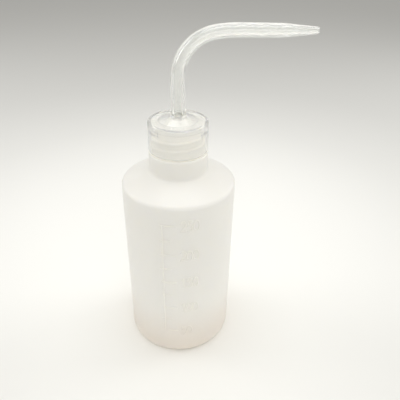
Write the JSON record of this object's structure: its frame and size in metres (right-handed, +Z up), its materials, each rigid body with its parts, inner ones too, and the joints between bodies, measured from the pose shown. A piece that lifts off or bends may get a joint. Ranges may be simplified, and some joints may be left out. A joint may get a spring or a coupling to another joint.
{
  "type": "wash bottle",
  "caption": "Cylindrical squeeze bottle with a sloped shoulder, screw cap and bent delivery tube that squirts a thin stream from a drawn tip.",
  "frame": {"origin": "centre of the circle the bottle stands on, on the bottle's axis", "axes": "+Z up along the bottle's axis, +X the way the delivery tube points at rest, +Y to its left"},
  "size_m": [0.0932, 0.06, 0.1808],
  "materials": {
    "bottle_plastic": "satin, milky translucent low-density polyethylene",
    "cap_plastic": "smooth, clear natural polypropylene",
    "plug_plastic": "smooth, translucent low-density polyethylene",
    "tube_plastic": "glossy, clear polyethylene"
  },
  "bodies": {
    "bottle": {"bottle": "bottle_plastic"},
    "plug": {"seal_plug": "plug_plastic"},
    "cap": {"screw_cap": "cap_plastic"},
    "spout": {"delivery_tube": "tube_plastic"}
  },
  "joints": [
    {"name": "cap_rise", "type": "slide", "parent": "bottle", "child": "plug", "axis": [0, 0, 1], "range_m": [0, 0.0064]},
    {"name": "cap_turn", "type": "hinge", "parent": "plug", "child": "cap", "pos_m": [0, 0, 0.1275], "axis": [0, 0, 1], "range_deg": [0, 540]},
    {"name": "spout_swivel", "type": "hinge", "parent": "plug", "child": "spout", "pos_m": [0, 0, 0.13], "axis": [0, 0, 1], "continuous": true}
  ],
  "couplings": [
    {"joint": "cap_rise", "follows": "cap_turn", "m_per_rad": 0.00067322}
  ]
}
